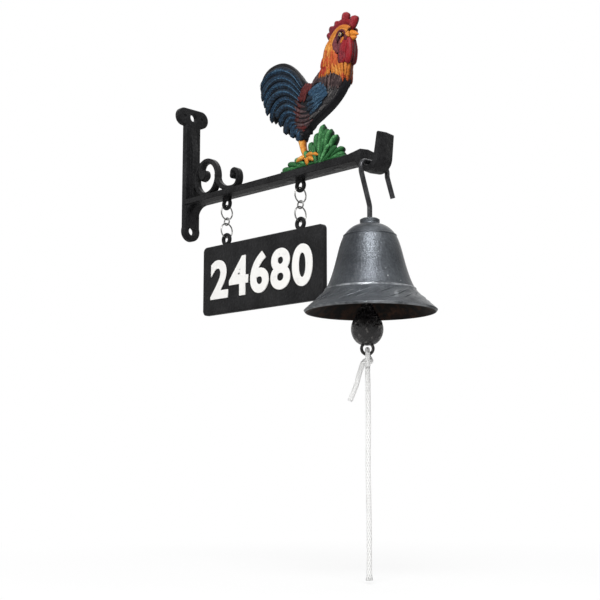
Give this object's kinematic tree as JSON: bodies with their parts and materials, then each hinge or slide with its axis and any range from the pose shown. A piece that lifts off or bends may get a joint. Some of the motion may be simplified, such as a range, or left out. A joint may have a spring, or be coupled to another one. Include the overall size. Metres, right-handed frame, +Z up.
{
  "type": "wall bell",
  "caption": "Cast-iron wall bell on a scrolled bracket with a painted cockerel, a sign on short chains and a bell with a pull cord.",
  "frame": {"origin": "midway between the two wall screw holes, on the wall face of the plate", "axes": "+X out from the wall along the arm, +Z up, Y across the arm"},
  "size_m": [0.2895, 0.106, 0.4668],
  "materials": {
    "black_iron": "satin black paint over a cast skin",
    "painted_figure": "hand-painted and dry-brushed",
    "black_screw": "black",
    "grey_iron": "satin graphite grey",
    "grey_steel": "satin grey",
    "bright_steel": "bright",
    "rough_black_iron": "glossy black over a rough casting",
    "white_cord": "braided"
  },
  "bodies": {
    "bracket": {"wall_bracket": "black_iron", "rooster": "painted_figure", "figure_screws": "black_screw"},
    "bell": {"bell_dome": "grey_iron", "bell_hook": "grey_steel", "crown_washer": "bright_steel"},
    "clapper_link": {"clapper_link": "bright_steel"},
    "clapper": {"clapper": "rough_black_iron", "cord_knot": "white_cord", "cord_long": "white_cord", "cord_tail": "white_cord"},
    "sign": {"sign": "black_iron"},
    "left_chain": {"left_upper_ring": "bright_steel", "left_middle_link": "bright_steel", "left_lower_ring": "bright_steel"},
    "right_chain": {"right_upper_ring": "bright_steel", "right_middle_link": "bright_steel", "right_lower_ring": "bright_steel"}
  },
  "joints": [
    {"name": "bell_swing", "type": "hinge", "parent": "bracket", "child": "bell", "pos_m": [0.2365, 0, -0.0341], "axis": [0, -1, 0], "range_deg": [-5, 40]},
    {"name": "clapper_link_swing", "type": "hinge", "parent": "bell", "child": "clapper_link", "pos_m": [0.2327, -0.006, -0.0981], "axis": [1, 0, 0], "range_deg": [-27, 27]},
    {"name": "clapper_swing", "type": "hinge", "parent": "clapper_link", "child": "clapper", "pos_m": [0.2327, -0.006, -0.1449], "axis": [0, 1, 0], "range_deg": [-12, 12]},
    {"name": "left_chain_swing", "type": "hinge", "parent": "bracket", "child": "left_chain", "pos_m": [0.055, 0, -0.0416], "axis": [1, 0, 0], "range_deg": [-20, 20]},
    {"name": "sign_tilt", "type": "hinge", "parent": "left_chain", "child": "sign", "pos_m": [0.055, 0, -0.0664], "axis": [1, 0, 0], "range_deg": [-20, 20]},
    {"name": "right_chain_swing", "type": "hinge", "parent": "bracket", "child": "right_chain", "pos_m": [0.1514, 0, -0.0416], "axis": [1, 0, 0], "range_deg": [-20, 20]}
  ],
  "couplings": [
    {"joint": "right_chain_swing", "follows": "left_chain_swing", "ratio": 1}
  ]
}
